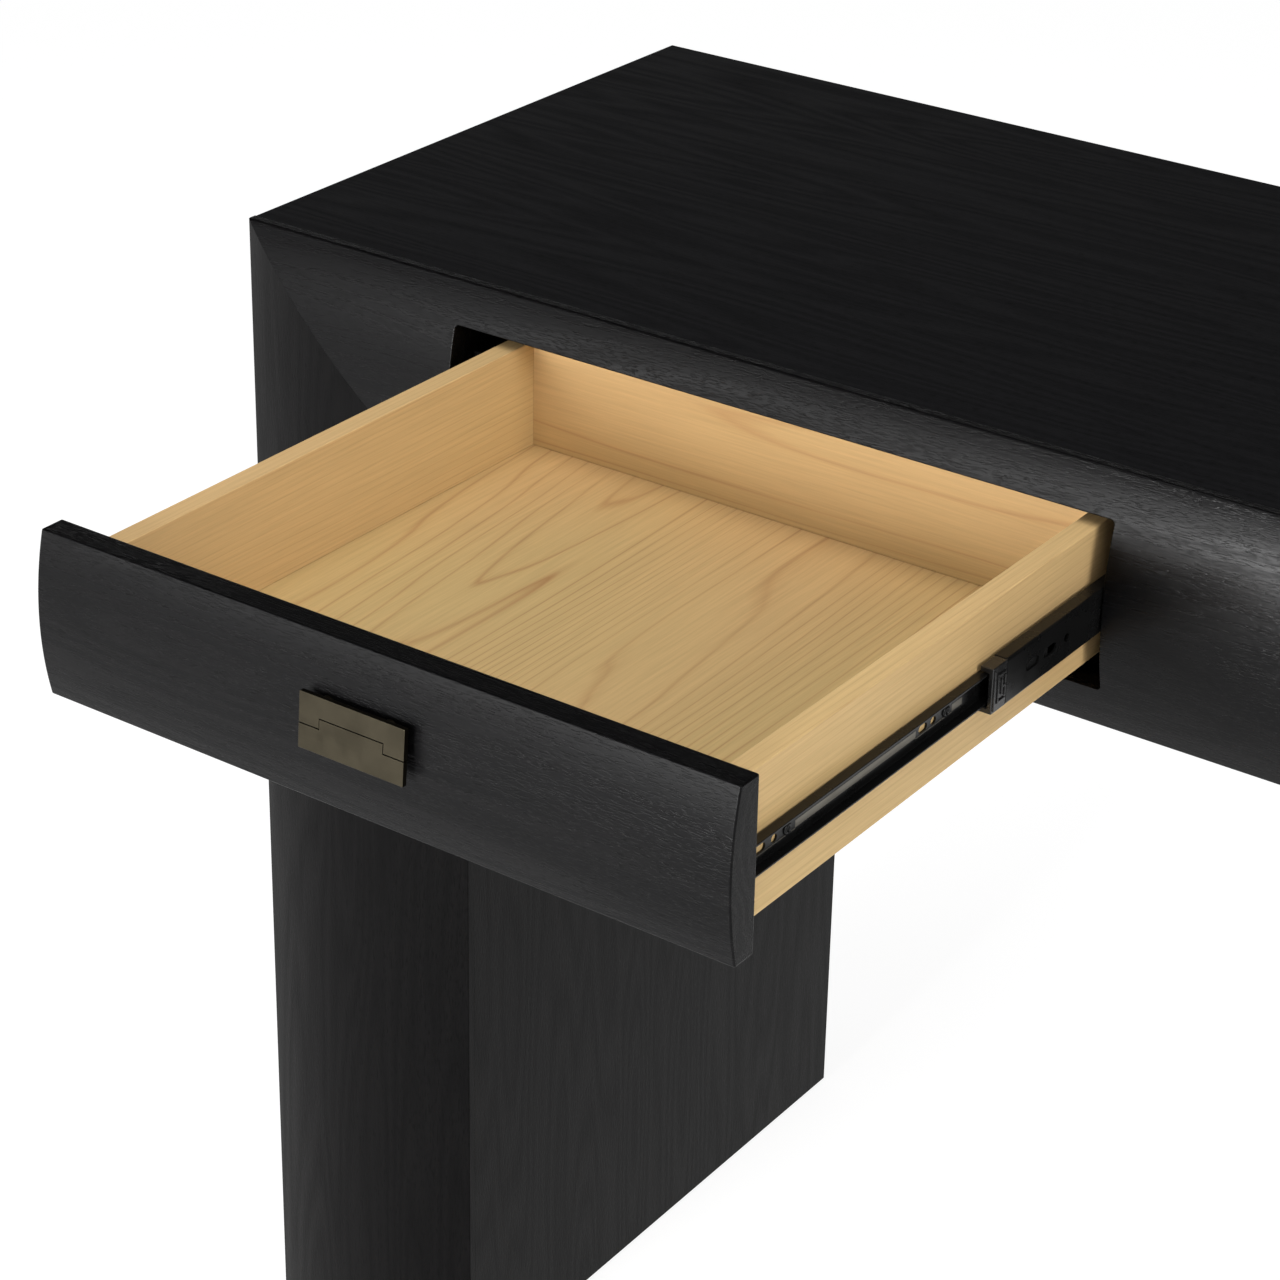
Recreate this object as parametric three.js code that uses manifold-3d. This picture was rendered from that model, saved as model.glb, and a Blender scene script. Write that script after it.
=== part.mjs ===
// Console table on two slab legs, with a pillowed front and two drawers on ball-bearing slides.
// Millimetres, +Z up, +X along the table, +Y from the front to the back.
// The left drawer stands open to the end of its slides and the right drawer is shut.
import * as THREE from 'three';
import { mergeVertices } from 'three/addons/utils/BufferGeometryUtils.js';
import Module from 'manifold-3d';

const wasm = await Module();
wasm.setup();

// ---- overall sizes
const LENGTH = 1524;
const DEPTH = 457;
const HEIGHT = 830;
const LEG_WIDTH = 171.5;
const APRON_HEIGHT = 154;
// how far the middle of the pillowed front stands out from its edges
const BULGE = 16;
// flat back of the front frame, behind the front edge of the top
const FRAME_BACK = 6;
const PANEL = 19;
const FOOT = 3;
// glue line left open between wooden pieces that meet
const JOINT = 0.1;

// ---- drawer openings in the apron
const OPENING_WIDTH = 445;
const OPENING_HEIGHT = 101.5;
const OPENING_BELOW_TOP = 25.75;
const OPENING_CORNER = 2.5;

// ---- drawers
const FRONT_GAP = 2;
const FRONT_CORNER = 1.5;
// flat inner face of a shut drawer front, behind the front edge of the top
const DRAWER_FRONT_BACK = 5.5;
const BOX_WIDTH = 406;
const BOX_HEIGHT = 81.5;
const BOX_LENGTH = 370;
const BOX_WALL = 13;
const BOX_BELOW_OPENING_TOP = 7.75;
// room between the box and the opening's edge, on the side away from the leg
const BOX_SIDE_ROOM = 11.25;
const BOTTOM_THICKNESS = 6;
const BOTTOM_RECESS = 7.5;
const GROOVE_DEPTH = 5;
const GROOVE_ROOM = 0.2;

// ---- ball-bearing slides: three nested steel channels
const TRAVEL = 348;
const MIDDLE_RATIO = 0.39;
const SLIDE_LENGTH = 350;
const SLIDE_ROOM = 12.7;
const SLIDE_SETBACK = 8;
const SLIDE_ABOVE_BOX_BOTTOM = 37.25;
const STEEL = 1.2;
const CABINET_HEIGHT = 35.4;
const CABINET_DEPTH = 9.2;
const MIDDLE_HEIGHT = 27;
const MIDDLE_DEPTH = 8.2;
const MIDDLE_TIP = 2.2;
const INNER_HEIGHT = 18;
const INNER_DEPTH = 6.5;
// running room between balls and tracks
const RUN = 0.35;
const RETAINER_LENGTH = 60;
const RETAINER_PROUD = 1;
const BALL_ROW_START = 145;
const BALL_ROW_END = 345;
const SPACER_HEIGHT = 60;

// ---- board that closes the case under the drawers
const CASE_BOTTOM = 12;

// ---- drop pulls
const PULL_WIDTH = 67;
const PULL_HEIGHT = 31;
const PULL_PLATE = 3;
const PULL_STANDOFF = 4;
const PULL_TILT = 4.5;
const PULL_ABOVE_MIDDLE = 4;
// from the pull's top edge down to the tongue, the hinge pin and the shoulders
const TONGUE_TOP = 11.5;
const PIN_DROP = 14.5;
const SHOULDER = 17.1;
const TONGUE_WIDTH = 41;
const PULL_SLIT = 0.35;
// clearance of the flap's shoulders past the ears' corners as it turns
const SHOULDER_RUN = 0.12;
const PIN_RADIUS = 0.75;
const PIN_RUN = 0.08;
const PIN_PRESS = 0.05;
const BOSS_RADIUS = 4.5;
const BOSS_DROP = 5.5;
const BOSS_SPACING = 40;
const SEAT = 0.3;

// ---- glides under the legs
const GLIDE_RADIUS = 12;
const GLIDE_INSET_X = 42;
const GLIDE_INSET_Y = 45;

const ARC_STEPS = 24;

// ---- places worked out from the sizes
const apronBottom = HEIGHT - APRON_HEIGHT;
const topUnderside = HEIGHT - PANEL;
const openingTop = HEIGHT - OPENING_BELOW_TOP;
const openingBottom = openingTop - OPENING_HEIGHT;
const openingEnd = LEG_WIDTH + OPENING_WIDTH;
const frontWidth = OPENING_WIDTH - 2 * FRONT_GAP;
const frontHeight = OPENING_HEIGHT - 2 * FRONT_GAP;
const frontMiddleX = LEG_WIDTH + OPENING_WIDTH / 2;
const frontMiddleZ = openingBottom + OPENING_HEIGHT / 2;
const boxRight = openingEnd - BOX_SIDE_ROOM;
const boxLeft = boxRight - BOX_WIDTH;
const boxTop = openingTop - BOX_BELOW_OPENING_TOP;
const boxBottom = boxTop - BOX_HEIGHT;
const boxFront = DRAWER_FRONT_BACK + JOINT;
const boxBack = boxFront + BOX_LENGTH;
const partitionFace = boxRight + SLIDE_ROOM;
const spacerFace = boxLeft - SLIDE_ROOM;
const slideZ = boxBottom + SLIDE_ABOVE_BOX_BOTTOM;
const pullProud = PULL_STANDOFF + PULL_PLATE;
const frontmost = TRAVEL + BULGE + pullProud;

// ---- finishes
const finish = (color, roughness, metalness) => () =>
  new THREE.MeshStandardMaterial({ color, roughness, metalness });
const blackWood = finish(0x252527, 0.5, 0);
const paleWood = finish(0xc9a56d, 0.55, 0);
const blackSteel = finish(0x121214, 0.35, 0.6);
const blackPlastic = finish(0x101010, 0.5, 0);
const bronze = finish(0x524b3e, 0.4, 0.8);

// ---- the assembly: the floor under the middle of the box around table and open drawer is the origin
const assembly = new THREE.Group();
assembly.position.set(-LENGTH / 2, (frontmost - DEPTH) / 2, 0);

function place(name, geometry, makeMaterial, parent = assembly) {
  const mesh = new THREE.Mesh(geometry, makeMaterial());
  mesh.name = name;
  parent.add(mesh);
  return mesh;
}

// ---- shapes
function box([x0, x1], [y0, y1], [z0, z1]) {
  const geometry = new THREE.BoxGeometry(x1 - x0, y1 - y0, z1 - z0);
  return geometry.translate((x0 + x1) / 2, (y0 + y1) / 2, (z0 + z1) / 2);
}

// outline points are [y, z], swept along X
function sweptX(points, x0, x1) {
  const geometry = new THREE.ExtrudeGeometry(outline(points), { depth: x1 - x0, bevelEnabled: false });
  const turn = new THREE.Matrix4().makeBasis(
    new THREE.Vector3(0, 1, 0), new THREE.Vector3(0, 0, 1), new THREE.Vector3(1, 0, 0));
  return geometry.applyMatrix4(turn).translate(x0, 0, 0);
}

// the shape or outline points are [x, z], swept along Y
function sweptY(points, y0, y1) {
  const shape = Array.isArray(points) ? outline(points) : points;
  const geometry = new THREE.ExtrudeGeometry(shape, { depth: y1 - y0, bevelEnabled: false, curveSegments: 6 });
  const turn = new THREE.Matrix4().makeBasis(
    new THREE.Vector3(1, 0, 0), new THREE.Vector3(0, 0, 1), new THREE.Vector3(0, -1, 0));
  return geometry.applyMatrix4(turn).translate(0, y1, 0);
}

// outline points are [x, y], swept along Z
function sweptZ(points, z0, z1) {
  const geometry = new THREE.ExtrudeGeometry(outline(points), { depth: z1 - z0, bevelEnabled: false });
  return geometry.translate(0, 0, z0);
}

function outline(points) {
  return new THREE.Shape(points.map(([a, b]) => new THREE.Vector2(a, b)));
}

function rodX(radius, x0, x1, y, z, segments) {
  const geometry = new THREE.CylinderGeometry(radius, radius, x1 - x0, segments);
  return geometry.rotateZ(Math.PI / 2).translate((x0 + x1) / 2, y, z);
}

function roundedRectangle(x0, x1, z0, z1, r) {
  const shape = new THREE.Shape();
  shape.moveTo(x0 + r, z0);
  shape.lineTo(x1 - r, z0);
  shape.absarc(x1 - r, z0 + r, r, -Math.PI / 2, 0);
  shape.lineTo(x1, z1 - r);
  shape.absarc(x1 - r, z1 - r, r, 0, Math.PI / 2);
  shape.lineTo(x0 + r, z1);
  shape.absarc(x0 + r, z1 - r, r, Math.PI / 2, Math.PI);
  shape.lineTo(x0, z0 + r);
  shape.absarc(x0 + r, z0 + r, r, Math.PI, 1.5 * Math.PI);
  return shape;
}

// ---- solids that are cut or joined
function solid(geometry) {
  const bare = geometry.clone();
  bare.deleteAttribute('normal');
  bare.deleteAttribute('uv');
  const merged = mergeVertices(bare, 1e-4);
  return new wasm.Manifold(new wasm.Mesh({
    numProp: 3,
    vertProperties: new Float32Array(merged.attributes.position.array),
    triVerts: new Uint32Array(merged.index.array),
  }));
}

function geometryOf(manifold) {
  const mesh = manifold.getMesh();
  const geometry = new THREE.BufferGeometry();
  geometry.setAttribute('position', new THREE.BufferAttribute(new Float32Array(mesh.vertProperties), 3));
  geometry.setIndex(new THREE.BufferAttribute(new Uint32Array(mesh.triVerts), 1));
  geometry.computeVertexNormals();
  return geometry;
}

// ---- the pillow: a shallow arc over the frame's width, 0 at both edges and BULGE in the middle
function pillow(share) {
  const radius = (APRON_HEIGHT ** 2 / 4 + BULGE ** 2) / (2 * BULGE);
  const offset = APRON_HEIGHT * (share - 0.5);
  return Math.sqrt(radius ** 2 - offset ** 2) - (radius - BULGE);
}

function arcShares(from, to) {
  return Array.from({ length: ARC_STEPS + 1 }, (_, i) => from + ((to - from) * i) / ARC_STEPS);
}

// the face between two heights, from the top down, as [y, z]
function pillowFace(z1, z0) {
  const share = (z) => (HEIGHT - z) / APRON_HEIGHT;
  return arcShares(share(z1), share(z0)).map((s) => [-pillow(s), HEIGHT - s * APRON_HEIGHT]);
}

const mirrorX = (x) => LENGTH - x;
const span = (a, b) => [Math.min(a, b), Math.max(a, b)];

// ---- front frame: pillowed apron mitred between two pillowed legs
function buildFrontApron() {
  const section = [[FRAME_BACK - JOINT, HEIGHT], ...pillowFace(HEIGHT, apronBottom), [FRAME_BACK - JOINT, apronBottom]];
  const slant = JOINT * Math.hypot(LEG_WIDTH, APRON_HEIGHT) / APRON_HEIGHT;
  const front = [
    [slant, HEIGHT],
    [LEG_WIDTH + slant, apronBottom],
    [mirrorX(LEG_WIDTH + slant), apronBottom],
    [mirrorX(slant), HEIGHT],
  ];
  let apron = solid(sweptX(section, 0, LENGTH)).intersect(solid(sweptY(front, -2 * BULGE, 2 * FRAME_BACK)));
  for (const at of [(x) => x, mirrorX]) {
    const [x0, x1] = span(at(LEG_WIDTH), at(openingEnd));
    const hole = roundedRectangle(x0, x1, openingBottom, openingTop, OPENING_CORNER);
    apron = apron.subtract(solid(sweptY(hole, -2 * BULGE, 2 * FRAME_BACK)));
  }
  place('front_apron', geometryOf(apron), blackWood);
}

function buildLegFront(side, at) {
  const face = arcShares(0, 1).map((s) => [at(s * LEG_WIDTH), -pillow(s)]);
  const section = [[at(0), FRAME_BACK - JOINT], ...face, [at(LEG_WIDTH), FRAME_BACK - JOINT]];
  const front = [[at(0), FOOT], [at(LEG_WIDTH), FOOT], [at(LEG_WIDTH), apronBottom], [at(0), HEIGHT]];
  const leg = solid(sweptZ(section, FOOT, HEIGHT)).intersect(solid(sweptY(front, -2 * BULGE, 2 * FRAME_BACK)));
  place(`leg_front_${side}`, geometryOf(leg), blackWood);
}

// ---- case: top mitred to the outer leg panels, the rest butted under it
function buildTop() {
  const slant = JOINT * Math.SQRT2;
  const section = [
    [slant, HEIGHT],
    [PANEL + slant, topUnderside],
    [mirrorX(PANEL + slant), topUnderside],
    [mirrorX(slant), HEIGHT],
  ];
  place('top_panel', sweptY(section, FRAME_BACK, DEPTH), blackWood);
}

function buildLeg(side, at) {
  buildLegFront(side, at);
  const under = topUnderside - JOINT;
  const outerSection = [[at(0), FOOT], [at(PANEL), FOOT], [at(PANEL), topUnderside], [at(0), HEIGHT]];
  place(`leg_outer_panel_${side}`, sweptY(outerSection, FRAME_BACK, DEPTH), blackWood);
  const inner = box(span(at(LEG_WIDTH - PANEL), at(LEG_WIDTH)), [FRAME_BACK, DEPTH], [FOOT, under]);
  place(`leg_inner_panel_${side}`, inner, blackWood);
  const between = span(at(PANEL + JOINT), at(LEG_WIDTH - PANEL - JOINT));
  place(`leg_back_panel_${side}`, box(between, [DEPTH - PANEL, DEPTH], [FOOT, under]), blackWood);
  const baseDepth = [FRAME_BACK, DEPTH - PANEL - JOINT];
  place(`leg_base_${side}`, box(between, baseDepth, [FOOT, FOOT + PANEL]), blackWood);
  for (const [depthName, y] of [['front', FRAME_BACK + GLIDE_INSET_Y], ['back', DEPTH - PANEL - GLIDE_INSET_Y]]) {
    for (const [edgeName, x] of [['outer', GLIDE_INSET_X], ['inner', LEG_WIDTH - GLIDE_INSET_X]]) {
      const glide = new THREE.CylinderGeometry(GLIDE_RADIUS, GLIDE_RADIUS - 1, FOOT - JOINT, 32);
      glide.rotateX(Math.PI / 2).translate(at(x), y, (FOOT - JOINT) / 2);
      place(`glide_${side}_${depthName}_${edgeName}`, glide, blackPlastic);
    }
  }
}

function buildCaseInside() {
  const under = topUnderside - JOINT;
  const long = [LEG_WIDTH + JOINT, mirrorX(LEG_WIDTH + JOINT)];
  place('back_apron', box(long, [DEPTH - PANEL, DEPTH], [apronBottom, under]), blackWood);
  const inside = [FRAME_BACK, DEPTH - PANEL - JOINT];
  const bottomTop = apronBottom + CASE_BOTTOM;
  place('case_bottom', box(long, inside, [apronBottom, bottomTop]), blackWood);
  for (const [side, at] of [['left', (x) => x], ['right', mirrorX]]) {
    const partition = box(span(at(partitionFace), at(partitionFace + PANEL)), inside, [bottomTop + JOINT, under]);
    place(`drawer_partition_${side}`, partition, blackWood);
    const spacer = box(span(at(LEG_WIDTH + JOINT), at(spacerFace)),
      [SLIDE_SETBACK, SLIDE_SETBACK + SLIDE_LENGTH], [slideZ - SPACER_HEIGHT / 2, slideZ + SPACER_HEIGHT / 2]);
    place(`slide_spacer_${side}`, spacer, blackWood);
  }
}

// ---- slide channels, drawn from the box side (0) towards the case (SLIDE_ROOM)
function channel(webAt, webTo, tip, height) {
  const h = height / 2;
  const towards = Math.sign(tip - webAt);
  const inside = towards > 0 ? Math.max(webAt, webTo) : Math.min(webAt, webTo);
  const outside = towards > 0 ? Math.min(webAt, webTo) : Math.max(webAt, webTo);
  return [
    [outside, -h], [tip, -h], [tip, STEEL - h], [inside, STEEL - h],
    [inside, h - STEEL], [tip, h - STEEL], [tip, h], [outside, h],
  ];
}

const cabinetWeb = SLIDE_ROOM - JOINT;
const middleWeb = MIDDLE_TIP + MIDDLE_DEPTH;
const cabinetSection = channel(cabinetWeb - STEEL, cabinetWeb, SLIDE_ROOM - CABINET_DEPTH, CABINET_HEIGHT);
const middleSection = channel(middleWeb - STEEL, middleWeb, MIDDLE_TIP, MIDDLE_HEIGHT);
const innerSection = channel(JOINT, JOINT + STEEL, INNER_DEPTH, INNER_HEIGHT);
const retainerSection = [
  [MIDDLE_TIP + RUN, -MIDDLE_HEIGHT / 2 + STEEL + RUN],
  [middleWeb - STEEL - RUN, -MIDDLE_HEIGHT / 2 + STEEL + RUN],
  [middleWeb - STEEL - RUN, MIDDLE_HEIGHT / 2 - STEEL - RUN],
  [MIDDLE_TIP + RUN, MIDDLE_HEIGHT / 2 - STEEL - RUN],
  [MIDDLE_TIP + RUN, INNER_HEIGHT / 2 + RUN],
  [INNER_DEPTH + RUN, INNER_HEIGHT / 2 + RUN],
  [INNER_DEPTH + RUN, -INNER_HEIGHT / 2 - RUN],
  [MIDDLE_TIP + RUN, -INNER_HEIGHT / 2 - RUN],
];

// the section's distances are measured from the box side, in the direction of the case
function slidePart(section, boxSide, direction, y0, y1) {
  return sweptY(section.map(([d, z]) => [boxSide + direction * d, slideZ + z]), y0, y1);
}

function ballRows(boxSide, direction, y0) {
  const middleTop = MIDDLE_HEIGHT / 2;
  const trackTop = CABINET_HEIGHT / 2 - STEEL - RUN;
  const row = [
    [SLIDE_ROOM - CABINET_DEPTH, middleTop - STEEL / 2], [middleWeb - STEEL, middleTop - STEEL / 2],
    [middleWeb - STEEL, trackTop], [SLIDE_ROOM - CABINET_DEPTH, trackTop],
  ];
  const mirrored = row.map(([d, z]) => [d, -z]);
  return [row, mirrored].map((section) => solid(
    slidePart(section, boxSide, direction, y0 + BALL_ROW_START, y0 + BALL_ROW_END)));
}

function buildSlide(name, boxSide, direction, open, drawer) {
  const y0 = SLIDE_SETBACK;
  const y1 = SLIDE_SETBACK + SLIDE_LENGTH;
  const middleShift = -open * MIDDLE_RATIO;
  place(`slide_cabinet_${name}`, slidePart(cabinetSection, boxSide, direction, y0, y1), blackSteel);
  place(`slide_inner_${name}`, slidePart(innerSection, boxSide, direction, y0, y1), blackSteel, drawer);

  const middleGroup = new THREE.Group();
  middleGroup.position.y = middleShift;
  assembly.add(middleGroup);
  let middle = solid(slidePart(middleSection, boxSide, direction, y0, y1));
  for (const row of ballRows(boxSide, direction, y0)) {
    middle = middle.add(row);
  }
  place(`slide_middle_${name}`, geometryOf(middle), blackSteel, middleGroup);
  const retainerFront = y0 - RETAINER_PROUD;
  const retainer = slidePart(retainerSection, boxSide, direction, retainerFront, retainerFront + RETAINER_LENGTH);
  place(`slide_retainer_${name}`, retainer, blackPlastic, middleGroup);
}

// ---- drawer
function buildDrawer(side, at, open) {
  const drawer = new THREE.Group();
  drawer.position.y = -open;
  assembly.add(drawer);

  const [frontX0, frontX1] = span(at(LEG_WIDTH + FRONT_GAP), at(openingEnd - FRONT_GAP));
  const z0 = openingBottom + FRONT_GAP;
  const z1 = z0 + frontHeight;
  const section = [[DRAWER_FRONT_BACK, z1], ...pillowFace(z1, z0), [DRAWER_FRONT_BACK, z0]];
  const trim = roundedRectangle(frontX0, frontX1, z0, z1, FRONT_CORNER);
  const front = solid(sweptX(section, frontX0, frontX1)).intersect(solid(sweptY(trim, -2 * BULGE, 2 * FRAME_BACK)));
  place(`drawer_front_${side}`, geometryOf(front), blackWood, drawer);

  // sides, grooved for the bottom
  const bottomZ0 = boxBottom + BOTTOM_RECESS;
  const bottomZ1 = bottomZ0 + BOTTOM_THICKNESS;
  for (const [edge, face, direction] of [['outer', boxLeft, 1], ['inner', boxRight, -1]]) {
    const grooved = [
      [0, boxBottom], [BOX_WALL, boxBottom],
      [BOX_WALL, bottomZ0 - GROOVE_ROOM], [BOX_WALL - GROOVE_DEPTH, bottomZ0 - GROOVE_ROOM],
      [BOX_WALL - GROOVE_DEPTH, bottomZ1 + GROOVE_ROOM], [BOX_WALL, bottomZ1 + GROOVE_ROOM],
      [BOX_WALL, boxTop], [0, boxTop],
    ];
    const points = grooved.map(([d, z]) => [at(face + direction * d), z]);
    place(`drawer_side_${side}_${edge}`, sweptY(points, boxFront, boxBack), paleWood, drawer);
  }
  const insideX = span(at(boxLeft + BOX_WALL + JOINT), at(boxRight - BOX_WALL - JOINT));
  const back = box(insideX, [boxBack - BOX_WALL, boxBack], [bottomZ1 + JOINT, boxTop]);
  place(`drawer_back_${side}`, back, paleWood, drawer);
  const grooveReach = BOX_WALL - GROOVE_DEPTH + GROOVE_ROOM;
  const bottomX = span(at(boxLeft + grooveReach), at(boxRight - grooveReach));
  place(`drawer_bottom_${side}`, box(bottomX, [boxFront, boxBack], [bottomZ0, bottomZ1]), paleWood, drawer);

  buildSlide(`${side}_outer`, at(boxLeft), at(1) > at(0) ? -1 : 1, open, drawer);
  buildSlide(`${side}_inner`, at(boxRight), at(1) > at(0) ? 1 : -1, open, drawer);
  buildPull(side, at(frontMiddleX), drawer);
}

// ---- drop pull: a fixed plate with two ears, and a flap whose tongue turns on a pin between them.
// Its own axes: x along the pull, y into the drawer, z up, from the seat on the drawer front.
function buildPull(side, middleX, drawer) {
  const top = BOSS_DROP;
  const plateBack = -PULL_STANDOFF;
  const plateFront = -pullProud;
  const half = PULL_WIDTH / 2;
  const tongue = TONGUE_WIDTH / 2;
  const pinZ = top - PIN_DROP;
  const pinY = (plateFront + plateBack) / 2;

  const pull = new THREE.Group();
  const middleDrop = PULL_HEIGHT / 2 - BOSS_DROP;
  const seatZ = frontMiddleZ + PULL_ABOVE_MIDDLE + middleDrop;
  const seatY = -pillow((HEIGHT - seatZ) / APRON_HEIGHT);
  pull.position.set(middleX, seatY, seatZ);
  pull.rotation.x = THREE.MathUtils.degToRad(-PULL_TILT);
  drawer.add(pull);

  const plateOutline = [
    [-half, top], [-half, top - SHOULDER], [-tongue, top - SHOULDER], [-tongue, top - TONGUE_TOP],
    [tongue, top - TONGUE_TOP], [tongue, top - SHOULDER], [half, top - SHOULDER], [half, top],
  ];
  let plate = solid(sweptY(plateOutline, plateFront, plateBack));
  for (const x of [-BOSS_SPACING / 2, BOSS_SPACING / 2]) {
    const boss = new THREE.CylinderGeometry(BOSS_RADIUS, BOSS_RADIUS, PULL_STANDOFF + 1 - SEAT, 24);
    boss.translate(x, -(PULL_STANDOFF + 1 + SEAT) / 2, 0);
    plate = plate.add(solid(boss));
  }
  const pinEnd = half - PULL_PLATE;
  const bore = rodX(PIN_RADIUS + PIN_PRESS, -pinEnd - PIN_PRESS, pinEnd + PIN_PRESS, pinY, pinZ, 16);
  plate = plate.subtract(solid(bore));
  place(`pull_plate_${side}`, geometryOf(plate), bronze, pull);
  place(`pull_pin_${side}`, rodX(PIN_RADIUS, -pinEnd, pinEnd, pinY, pinZ, 16), bronze, pull);

  // flap: the tongue's upper end is rounded about the pin so that it clears the plate as it turns
  const reach = PIN_DROP - TONGUE_TOP - PULL_SLIT;
  const halfPlate = PULL_PLATE / 2;
  const shoulderAngle = Math.acos(halfPlate / reach);
  const rounding = arcShares(0, 1).map((s) => shoulderAngle + s * (Math.PI - 2 * shoulderAngle));
  const tongueSection = [
    [pinY + halfPlate, top - PULL_HEIGHT],
    ...rounding.map((angle) => [pinY + reach * Math.cos(angle), pinZ + reach * Math.sin(angle)]),
    [pinY - halfPlate, top - PULL_HEIGHT],
  ];
  const shoulderZ = pinZ - Math.hypot(halfPlate, SHOULDER - PIN_DROP) - SHOULDER_RUN;
  const tongueSide = tongue - PULL_SLIT;
  const flapOutline = [
    [-half, top - PULL_HEIGHT], [half, top - PULL_HEIGHT], [half, shoulderZ],
    [tongueSide, shoulderZ], [tongueSide, top], [-tongueSide, top],
    [-tongueSide, shoulderZ], [-half, shoulderZ],
  ];
  let flap = solid(sweptX(tongueSection, -half, half));
  flap = flap.intersect(solid(sweptY(flapOutline, 2 * plateFront, 0)));
  flap = flap.subtract(solid(rodX(PIN_RADIUS + PIN_RUN, -half, half, pinY, pinZ, 16)));
  place(`pull_flap_${side}`, geometryOf(flap), bronze, pull);
}

buildFrontApron();
buildTop();
buildLeg('left', (x) => x);
buildLeg('right', mirrorX);
buildCaseInside();
buildDrawer('left', (x) => x, TRAVEL);
buildDrawer('right', mirrorX, 0);

export default assembly;
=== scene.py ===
"""Console table on two slab legs: black oak with a pillowed front, two pale drawers on ball-bearing slides.

Sizes are in the table's own millimetres: x from its left side, y back from the front edge of the top, z up
from the floor. Pieces of a drawer are drawn with the drawer shut. Sections are closed outlines, carried
straight along one axis, and every edge is a small round.
"""
import math

import bpy
import numpy as np
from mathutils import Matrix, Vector


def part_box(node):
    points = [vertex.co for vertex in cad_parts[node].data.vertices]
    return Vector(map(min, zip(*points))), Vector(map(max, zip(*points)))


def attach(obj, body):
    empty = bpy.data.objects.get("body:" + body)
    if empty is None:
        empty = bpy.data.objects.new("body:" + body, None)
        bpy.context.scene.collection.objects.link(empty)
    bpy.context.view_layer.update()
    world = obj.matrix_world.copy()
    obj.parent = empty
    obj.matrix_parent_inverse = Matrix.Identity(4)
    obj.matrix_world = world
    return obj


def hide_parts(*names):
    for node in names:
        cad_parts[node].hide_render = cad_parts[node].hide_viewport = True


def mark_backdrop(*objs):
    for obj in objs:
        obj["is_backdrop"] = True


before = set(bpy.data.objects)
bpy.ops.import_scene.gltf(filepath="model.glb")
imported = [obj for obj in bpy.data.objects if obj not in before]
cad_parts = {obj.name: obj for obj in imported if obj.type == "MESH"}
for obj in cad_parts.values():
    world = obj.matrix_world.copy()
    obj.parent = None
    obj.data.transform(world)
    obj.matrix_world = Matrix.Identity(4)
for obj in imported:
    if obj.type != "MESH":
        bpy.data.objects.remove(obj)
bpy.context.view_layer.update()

# ---- the black frame
LENGTH = 1524.0
DEPTH = 457.0
HEIGHT = 830.0
LEG_WIDTH = 171.5
APRON = 154.0
BULGE = 16.0
FRAME_BACK = 6.0
PANEL = 19.0
CASE_BOTTOM = 12.0
PARTITION = (617.95, 636.95)
GLUE = 0.1
OPENING = (171.5, 616.5, 702.75, 804.25)  # left, right, bottom, top
OPENING_CORNER = 2.5

# ---- foot glides: (radius, height) from the floor up, and how far in from the leg's edges they stand
FOOT = 3.0
GLIDE = [(0.01, 0), (9.5, 0), (10.6, 0.35), (11.2, 1.0), (12, 2.2), (12, 2.9), (0.01, 2.9)]
GLIDE_INSET = (42.0, 45.0)

# ---- drawers
SHUT_FACE = 5.5
FRONT_GAP = 2.0
BOX = (199.25, 605.25, 715.0, 796.5)  # left, right, bottom, top
BOX_WALL = 13.0
BOX_LENGTH = 370.0
BOTTOM = (722.5, 728.5)
GROOVE = 5.0
GROOVE_ROOM = 0.2
TRAVEL = 348.0
MIDDLE_SHARE = 0.39

# ---- slides: a rail is (depth, height), and its web's outer face stands at a depth beyond the drawer box
SLIDE = (8.0, 358.0)
SLIDE_Z = 752.25
STEEL = 1.2
CASE_RAIL, CASE_RAIL_WEB = (9.2, 35.4), 12.6
MIDDLE_RAIL, MIDDLE_RAIL_WEB = (8.2, 27.0), 10.4
DRAWER_RAIL, DRAWER_RAIL_WEB = (6.4, 18.0), 0.1
RAIL_BEND = 1.6
DRAWER_RAIL_BEND = 1.4
RAIL_LIP = 0.3
PACKER_FACE = 186.55
PACKER_HALF_HEIGHT = 30.0
NOSE = (7.0, 22.0, 67.0)  # front of the mouth, back of the mouth, back of the tail
MOUTH_OVER_RAIL = 0.5
SCREW = 3.3

# slots as (middle, length, width), screws by their middles, bands of painted reflection on the web as (along,
# height)
CASE_SLOTS = [(30, 12, 4.6), (48, 5, 5), (125, 12, 4.6), (240, 12, 4.6), (320, 12, 4.6)]
MIDDLE_SLOTS = [(48, 14, 5.6), (66, 14, 5.6), (84, 5, 5), (178, 14, 5.6), (198, 14, 5.6), (308, 14, 5.6)]
DRAWER_SLOTS = [(20, 9, 4.6), (32, 5, 4.4), (166, 8, 4.6), (176, 5, 4.4), (262, 9, 4.6), (300, 12, 4.2)]
DRAWER_SCREWS = (43.0, 188.0)
# painted reflection: light bands on the black web of the drawer rail, where the real web only reflects light
PAINTED_REFLECTION_BANDS = [((50.0, 159.0), (-2.7, 1.4)), ((194.0, 204.0), (-2.7, 1.4)),
                 ((14.0, 50.0), (-3.4, -2.7)), ((159.0, 194.0), (-3.4, -2.7))]

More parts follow.
